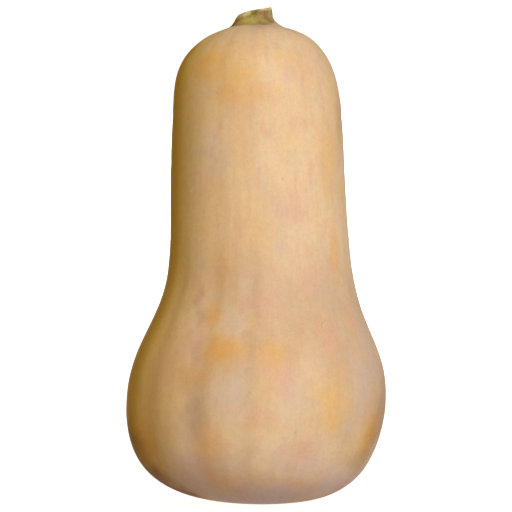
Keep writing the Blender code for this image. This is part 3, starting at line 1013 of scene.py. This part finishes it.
def stem_mesh(skin, shift):
    """The stub as stacked rings: its ribbed side, its rim, and the dished cut face."""
    tree = BVHTree.FromPolygons(
        [vertex.co for vertex in skin.data.vertices], [face.vertices for face in skin.data.polygons]
    )
    above = Vector((0, 0, 2 * CROWN_MM * MM))

    def skin_height(x, y):
        start = Vector((x * MM, y * MM, 0.0)) + shift + above
        hit, _, _, _ = tree.ray_cast(start, Vector((0, 0, -1)))
        return hit.z / MM

    bm = bmesh.new()
    kinds = ("up", "rib", "cut", "foot", *STEM_PATCHES)
    layers = {kind: bm.verts.layers.float.new(kind) for kind in kinds}
    azimuths = [TURN * i / STEM_AROUND for i in range(STEM_AROUND)]
    side = smooth_path(STEM_SIDE_MM, STEM_SIDE_RINGS)
    tallest = STEM_SIDE_MM[-1][0]
    loops = []

    def add_ring(points):
        loop = []
        for x, y, z, marks in points:
            vertex = bm.verts.new(Vector((x, y, z)) * MM + shift)
            for kind, mark in marks.items():
                vertex[layers[kind]] = mark
            loop.append(vertex)
        loops.append(loop)

    def side_point(azimuth, rise, radius, sink):
        share = max(0.0, rise / tallest)
        reach = stem_reach(azimuth, radius, share)
        rib = reach / radius - 1
        furrow = stem_furrow(azimuth, share)
        reach -= furrow
        for size, around, tall in STEM_UNEVENNESS:
            reach += size * rough(azimuth, rise, around, tall)
        x, y = stem_place(azimuth, reach, share)
        low = skin_height(x, y)
        top = stem_top(x, y) - STEM_FURROW_NOTCH * furrow
        torn = STEM_TEAR_MM - STEM_LEFT_TEAR_MM * math.sin(azimuth)
        for part, around, read_at in STEM_TEARS:
            top += part * torn * rough(azimuth, read_at, around, 1.0)
        marks = {"up": share, "rib": rib, "cut": 0.0, **stem_marks(azimuth, share)}
        return x, y, low + (top - low) * share - sink, marks

    foot = side[0][1]
    add_ring([side_point(azimuth, 0.0, foot, STEM_SUNK_MM) for azimuth in azimuths])
    for rise, radius in side:
        rim = [side_point(azimuth, rise, radius, 0.0) for azimuth in azimuths]
        add_ring(rim)
    for share in STEM_CUT_SHARES[1:]:
        ring = []
        for azimuth, (x, y, z, marks) in zip(azimuths, rim):
            middle_x, middle_y = stem_place(azimuth, 0.0, 1.0)
            px, py = middle_x + (x - middle_x) * share, middle_y + (y - middle_y) * share
            height = cut_height(azimuth, px, py, share, z - stem_top(x, y))
            marks = {**marks, "cut": 1.0 if share < CUT_RIM_SHARE else 0.5}
            ring.append((px, py, height, marks))
        add_ring(ring)

    for low, high in zip(loops, loops[1:]):
        for i in range(STEM_AROUND):
            j = (i + 1) % STEM_AROUND
            bm.faces.new((low[i], low[j], high[j], high[i]))
    for loop in (loops[0], loops[-1]):
        point = bm.verts.new(sum((vertex.co for vertex in loop), Vector()) / len(loop))
        for name, layer in layers.items():
            point[layer] = loop[0][layer]
        for i in range(STEM_AROUND):
            bm.faces.new((loop[i], loop[(i + 1) % STEM_AROUND], point))
    bmesh.ops.recalc_face_normals(bm, faces=bm.faces)
    mesh = bpy.data.meshes.new("stem_stub")
    bm.to_mesh(mesh)
    bm.free()
    return mesh


def fibre_tree(finish, torn):
    """The tree that adds torn fibres along the rim of the stub's cut face."""
    group, tree, size = geometry_tree("stem fibres", FIBRE_SIZES)
    stub = size["Geometry"]
    cut = tree.attribute("cut", "FLOAT")
    x, _, _ = tree.split(tree.here())
    at_rim = tree.ramp(cut, *FIBRES_OUTSIDE) * tree.ramp(cut, *FIBRES_INSIDE)
    at_rim = at_rim * tree.ramp_mm(x, FIBRES_LEFT_MM)
    gap, density = size["Fibre gap"], size["Fibre density"]
    points = scattered(tree, stub, gap, density, at_rim, FIBRE_SEED)
    sides = {"Vertices": FIBRE_SIDES, "Side Segments": FIBRE_SEGMENTS}
    sides.update({"Radius Top": FIBRE_TIP, "Radius Bottom": 1.0, "Depth": 1.0})
    fibre = tree.add("GeometryNodeMeshCone", {"fill_type": "TRIANGLE_FAN"}, sides)
    leans = [random_between(tree, FIBRE_LEANS, FIBRE_SEED + i) for i in (1, 2)]
    radius = size["Fibre radius"]
    length = size["Fibre length"] * random_between(tree, FIBRE_LENGTHS, FIBRE_SEED + 3)
    scale = tree.joined(radius, radius, length)
    fibres = placed(tree, points, fibre, tree.joined(*leans, 0.0), scale)
    end_tree(tree, [(stub, finish), (fibres, torn)])
    return group


def make_stem(skin, shift):
    torn = corky_finish("torn stem fibres", STEM_PALE, STEM_STRAW)
    group = fibre_tree(stem_finish(), torn)
    stem = grown("stem_stub", stem_mesh(skin, shift), group, FIBRE_SIZES)
    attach(stem, "root")
    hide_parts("stem")
    return stem


def stem_finish():
    """Dry stem: olive and ochre, with brown, rusty, grey and green patches, painted shade low at
    its foot, and a straw rim.
    """
    finish, tree, shader = shaded("dry stem", 0.75, 0.25)
    place = tree.add("ShaderNodeTexCoord", output="Object")
    mark = tree.marks("up", "rib", "cut", "foot", *STEM_PATCHES)
    fibres = tree.noise(tree.vector("MULTIPLY", place, DRY_FIBRE_STRETCH), *DRY_FIBRES)
    patches = tree.noise(place, *DRY_PATCHES)
    fine = tree.noise(place, *DRY_FINE)

    colour = tree.mix(tree.ramp(patches, *MOTTLE_EDGE), STEM_OLIVE, STEM_OCHRE)
    rib = tree.ramp(mark["rib"], *RIB_EDGE) * 0.25
    colour = tree.mix(rib, colour, STEM_COLOURS["brown"])
    for kind, tint in STEM_COLOURS.items():
        colour = tree.mix(mark[kind] * 0.9, colour, tint)
    rim = tree.ramp(mark["up"] + patches.swing(0.25), *STEM_RIM_EDGE)
    colour = tree.mix(rim * (1 - mark["green"] * 0.8) * 0.85, colour, STEM_STRAW)
    colour = tree.mix(mark["foot"] * 0.9, colour, CROWN_GREY)
    face = tree.mix(tree.ramp(patches, *BROAD_EDGE), STEM_STRAW, STEM_PALE)
    colour = tree.mix(mark["cut"], colour, face)
    grey = fibres.swing(0.8) + fine.swing(0.3) + 1.0
    shade = tree.joined(grey, grey, grey)
    feed(tree, shader, "Base Color", tree.mix(1.0, colour, shade, "MULTIPLY"))
    feed(tree, shader, "Roughness", fibres * 0.3 + 0.6)
    feed_relief(tree, shader, fibres + fine * 0.4, strength=0.7, distance=0.25 * MM)
    return finish


# The studio.


def plain_finish(name, colour, roughness, glow):
    finish, _, shader = shaded(name, roughness, 0.2)
    shader.inputs["Base Color"].default_value = (*colour, 1.0)
    shader.inputs["Emission Color"].default_value = (1.0, 1.0, 1.0, 1.0)
    shader.inputs["Emission Strength"].default_value = glow
    finish.cycles.emission_sampling = "NONE"
    return finish


STUDIO_RADIUS = 8.0
FLOOR_START = -1.0
SWEEP_START = 0.8
SWEEP_RADIUS = 1.0
SWEEP_STEPS = 24
FLOOR_COLOUR = (0.5, 0.5, 0.5)
FLOOR_GLOW = 0.9
BACKDROP_GLOW = 1.0
LAMP_DISTANCE = 1.5
# The lights: name, azimuth and elevation in degrees, power in watts, and width.
LAMPS = (
    ("key_light", 24, 22, 15.0, 0.9),
    ("back_light", 180, 8, 9.0, 0.2),
)
# The colours of the air that lights the squash, by the direction that the light comes from.
HIGH_AIR = (0.30, 0.22, 0.14)
LOW_AIR = (0.74, 0.61, 0.60)
RIGHT_AIR = (0.40, 0.34, 0.29)
LEFT_AIR = (0.59, 0.42, 0.10)
DARK_AIR = (0.03, 0.01, 0.0)
# Where the airs come in, as shares of the way up or to the right, and how much of the dark air.
HIGH_SPAN = (-0.35, 0.5)
RIGHT_SPAN = (0.1, 0.9)
LEFT_SPAN = (0.0, -0.7)
DARK_LEFT_SPAN = (-0.6, -0.95)
DARK_LEFT_SHARE = 0.85
DARK_LOW_LEFT_SPAN = (-0.3, -0.7)
DARK_BELOW_SPAN = (-0.8, -1.0)
DARK_BELOW_SHARE = 0.8


def seen_only(thing):
    """Shows a thing to the camera alone, and keeps its light and its shadow off the squash."""
    for rays in ("diffuse", "glossy", "transmission", "volume_scatter", "shadow"):
        setattr(thing, "visible_" + rays, False)


def make_studio():
    """A pale floor that curves up behind the squash, and a pale backdrop all round."""
    profile = [(back, 0.0) for back in (FLOOR_START, 0.0, SWEEP_START)]
    for i in range(1, SWEEP_STEPS + 1):
        turn = math.radians(90) * i / SWEEP_STEPS
        out = SWEEP_START + SWEEP_RADIUS * math.sin(turn)
        profile.append((out, SWEEP_RADIUS * (1 - math.cos(turn))))
    profile.append((SWEEP_START + SWEEP_RADIUS, STUDIO_RADIUS))
    places = [(side * STUDIO_RADIUS, back, up) for back, up in profile for side in (-1, 1)]
    faces = [(i, i + 1, i + 3, i + 2) for i in range(0, len(places) - 2, 2)]
    mesh = bpy.data.meshes.new("floor")
    mesh.from_pydata(places, [], faces)
    mesh.shade_smooth()
    mesh.materials.append(plain_finish("pale floor", FLOOR_COLOUR, 0.7, FLOOR_GLOW))
    floor = in_scene("floor", mesh)
    mesh = bpy.data.meshes.new("backdrop")
    bm = bmesh.new()
    bmesh.ops.create_uvsphere(bm, u_segments=48, v_segments=24, radius=STUDIO_RADIUS)
    bm.to_mesh(mesh)
    bm.free()
    mesh.materials.append(plain_finish("pale backdrop", (0.0, 0.0, 0.0), 1.0, BACKDROP_GLOW))
    backdrop = in_scene("backdrop", mesh)
    seen_only(floor)
    seen_only(backdrop)


def add_lamp(name, azimuth, elevation, power, width):
    """A round soft light at this place round the squash, turned to it."""
    lamp = bpy.data.lights.new(name, "AREA")
    lamp.shape = "DISK"
    lamp.size = width
    lamp.energy = power
    light = in_scene(name, lamp)
    light.visible_glossy = abs(azimuth) < TURN / 4
    out = math.cos(elevation)
    way = Vector((math.sin(azimuth) * out, -math.cos(azimuth) * out, math.sin(elevation)))
    light.location = way * LAMP_DISTANCE + Vector((0.0, 0.0, CAMERA_HEIGHT))
    light.rotation_euler = way.to_track_quat("Z", "Y").to_euler()


def light_studio():
    """A soft light from the front right and one from behind, in air that is darker to the left."""
    for name, azimuth, elevation, power, width in LAMPS:
        add_lamp(name, math.radians(azimuth), math.radians(elevation), power, width)
    world = bpy.data.worlds.new("studio air")
    bpy.context.scene.world = world
    world.use_nodes = True
    tree = Tree(world.node_tree)
    right, _, up = tree.split(tree.add("ShaderNodeTexCoord", output="Generated"))
    colour = tree.mix(tree.ramp(up, *HIGH_SPAN), LOW_AIR, HIGH_AIR)
    colour = tree.mix(tree.ramp(right, *RIGHT_SPAN), colour, RIGHT_AIR)
    dark = tree.ramp(right, *DARK_LEFT_SPAN) * DARK_LEFT_SHARE
    dark = dark.at_least(tree.ramp(up, *DARK_LOW_LEFT_SPAN))
    left = tree.mix(dark, LEFT_AIR, DARK_AIR)
    colour = tree.mix(tree.ramp(right, *LEFT_SPAN), colour, left)
    colour = tree.mix(tree.ramp(up, *DARK_BELOW_SPAN) * DARK_BELOW_SHARE, colour, DARK_AIR)
    feed(tree, world.node_tree.nodes["Background"], "Color", colour)


def make_camera():
    lens = bpy.data.cameras.new("camera")
    lens.sensor_width = SENSOR_WIDTH_MM
    lens.lens = SENSOR_WIDTH_MM * CAMERA_DISTANCE / PICTURE_WIDTH
    camera = in_scene("camera", lens)
    camera.location = (0.0, -CAMERA_DISTANCE, CAMERA_HEIGHT)
    camera.rotation_euler = (math.radians(90), 0.0, 0.0)
    bpy.context.scene.camera = camera
    bpy.context.scene.view_settings.view_transform = "Standard"


make_camera()
make_studio()
light_studio()
skin, shift = make_skin()
make_stem(skin, shift)
